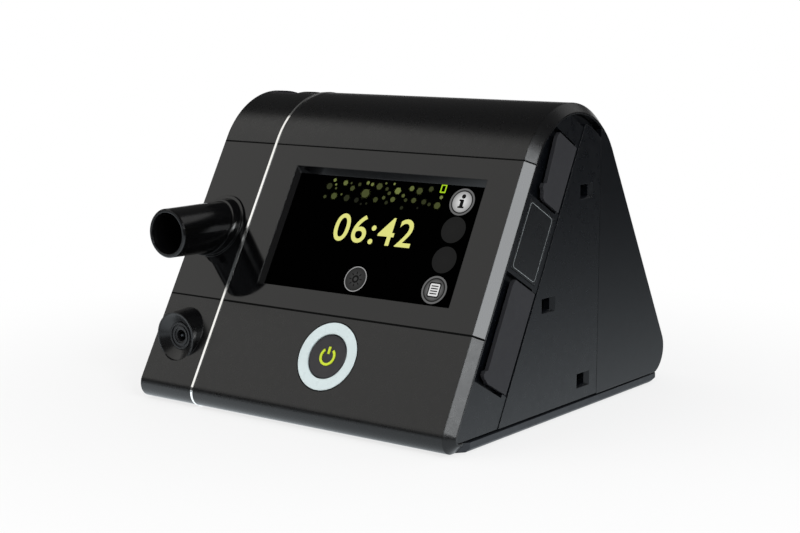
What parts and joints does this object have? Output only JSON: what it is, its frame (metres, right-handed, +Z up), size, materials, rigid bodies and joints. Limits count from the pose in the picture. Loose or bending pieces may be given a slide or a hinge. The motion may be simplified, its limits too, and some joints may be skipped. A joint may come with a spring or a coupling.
{
  "type": "bilevel pap machine",
  "caption": "Wedge-shaped home breathing-therapy device with a sloping colour display, power key and hose outlet on a side module.",
  "frame": {"origin": "centre of the footprint on the surface that the feet stand on", "axes": "+Z up, -Y towards the display side, +X towards the flaps"},
  "size_m": [0.17, 0.1804, 0.1352],
  "materials": {
    "satin_black": "satin moulded plastic",
    "gloss_black": "high gloss",
    "side_grey": "fine texture",
    "base_grey": "fine texture",
    "flap_grey": "soft matte",
    "label_film": "printed film",
    "trim_bright": "bright",
    "cover_glass": "polished",
    "key_white": "satin",
    "key_cap": "satin",
    "symbol_green": "satin",
    "board_green": "solder mask",
    "chip_black": "moulded",
    "sheet_metal": "zinc plated",
    "card_blue": "moulded",
    "inner_grey": "moulded",
    "foam": "open cell foam",
    "silicone": "soft translucent",
    "blower_grey": "moulded",
    "motor_metal": "turned",
    "winding": "enamelled copper",
    "foot_rubber": "matte",
    "door_black": "satin"
  },
  "bodies": {
    "main_unit": {"base_tray": "base_grey", "front_panel": "satin_black", "display_panel": "gloss_black", "top_cover": "satin_black", "rear_shell": "satin_black", "side_panel": "side_grey", "connector_strip": "side_grey", "label_plate": "label_film", "trim_ring": "trim_bright", "dock_wall": "side_grey", "touch_glass": "cover_glass", "lcd_module": "sheet_metal", "lcd_bracket": "sheet_metal", "main_board": "board_green", "board_parts": "chip_black", "service_port": "sheet_metal", "card_socket": "sheet_metal", "key_ring": "key_white", "key_board": "board_green", "silencer_box": "inner_grey", "silencer_lid": "inner_grey", "silencer_foam": "foam", "blower_boot": "silicone", "blower_lower": "blower_grey", "blower_upper": "blower_grey", "motor_can": "motor_metal", "motor_stator": "winding", "outlet_sleeve": "silicone", "filter_pad": "foam", "dc_inlet": "chip_black", "base_screw_1": "sheet_metal", "base_screw_2": "sheet_metal", "base_screw_3": "sheet_metal", "base_screw_4": "sheet_metal", "foot_1": "foot_rubber", "foot_2": "foot_rubber", "foot_3": "foot_rubber", "foot_4": "foot_rubber"},
    "key": {"power_key": "key_cap", "key_symbol": "symbol_green"},
    "upper_door": {"upper_flap": "flap_grey"},
    "lower_door": {"lower_flap": "flap_grey"},
    "filter_door": {"filter_cover": "door_black"},
    "hose_module": {"module_shell": "satin_black", "module_top": "satin_black", "module_panel": "gloss_black", "module_low": "satin_black", "outlet_tube": "gloss_black", "outlet_collar": "gloss_black", "heater_jack": "chip_black", "jack_pin": "winding", "module_foot_1": "foot_rubber", "module_foot_2": "foot_rubber", "button_spring": "sheet_metal"},
    "release": {"release_button": "key_cap"},
    "rotor": {"impeller": "blower_grey", "rotor_shaft": "sheet_metal"},
    "card": {"memory_card": "card_blue"}
  },
  "joints": [
    {"name": "key_press", "type": "slide", "parent": "main_unit", "child": "key", "axis": [0, 0.8792, -0.4764], "range_m": [0, 0.0008], "stiffness_N_per_m": 1800, "springref_m": -0.0003},
    {"name": "upper_flap_hinge", "type": "hinge", "parent": "main_unit", "child": "upper_door", "pos_m": [0.0838, -0.00552, 0.10266], "axis": [0, 0.4764, 0.8792], "range_deg": [0, 90]},
    {"name": "lower_flap_hinge", "type": "hinge", "parent": "main_unit", "child": "lower_door", "pos_m": [0.0838, -0.04058, 0.03795], "axis": [0, 0.4764, 0.8792], "range_deg": [0, 90]},
    {"name": "filter_cover_hinge", "type": "hinge", "parent": "main_unit", "child": "filter_door", "pos_m": [0.024, 0.08577, 0.0242], "axis": [-1, 0, 0], "range_deg": [0, 90]},
    {"name": "hose_module_slide", "type": "slide", "parent": "main_unit", "child": "hose_module", "axis": [-1, 0, 0], "range_m": [0, 0.06]},
    {"name": "release_press", "type": "slide", "parent": "hose_module", "child": "release", "axis": [0, 0, -1], "range_m": [0, 0.0022], "stiffness_N_per_m": 500, "springref_m": -0.001, "deforming": ["button_spring"]},
    {"name": "impeller_spin", "type": "hinge", "parent": "main_unit", "child": "rotor", "pos_m": [0.022, 0.014, 0.0756], "axis": [0, 0, 1], "continuous": true},
    {"name": "memory_card_press", "type": "slide", "parent": "main_unit", "child": "card", "axis": [-1, 0, 0], "range_m": [0, 0.0008], "stiffness_N_per_m": 1500, "springref_m": -0.0003}
  ]
}
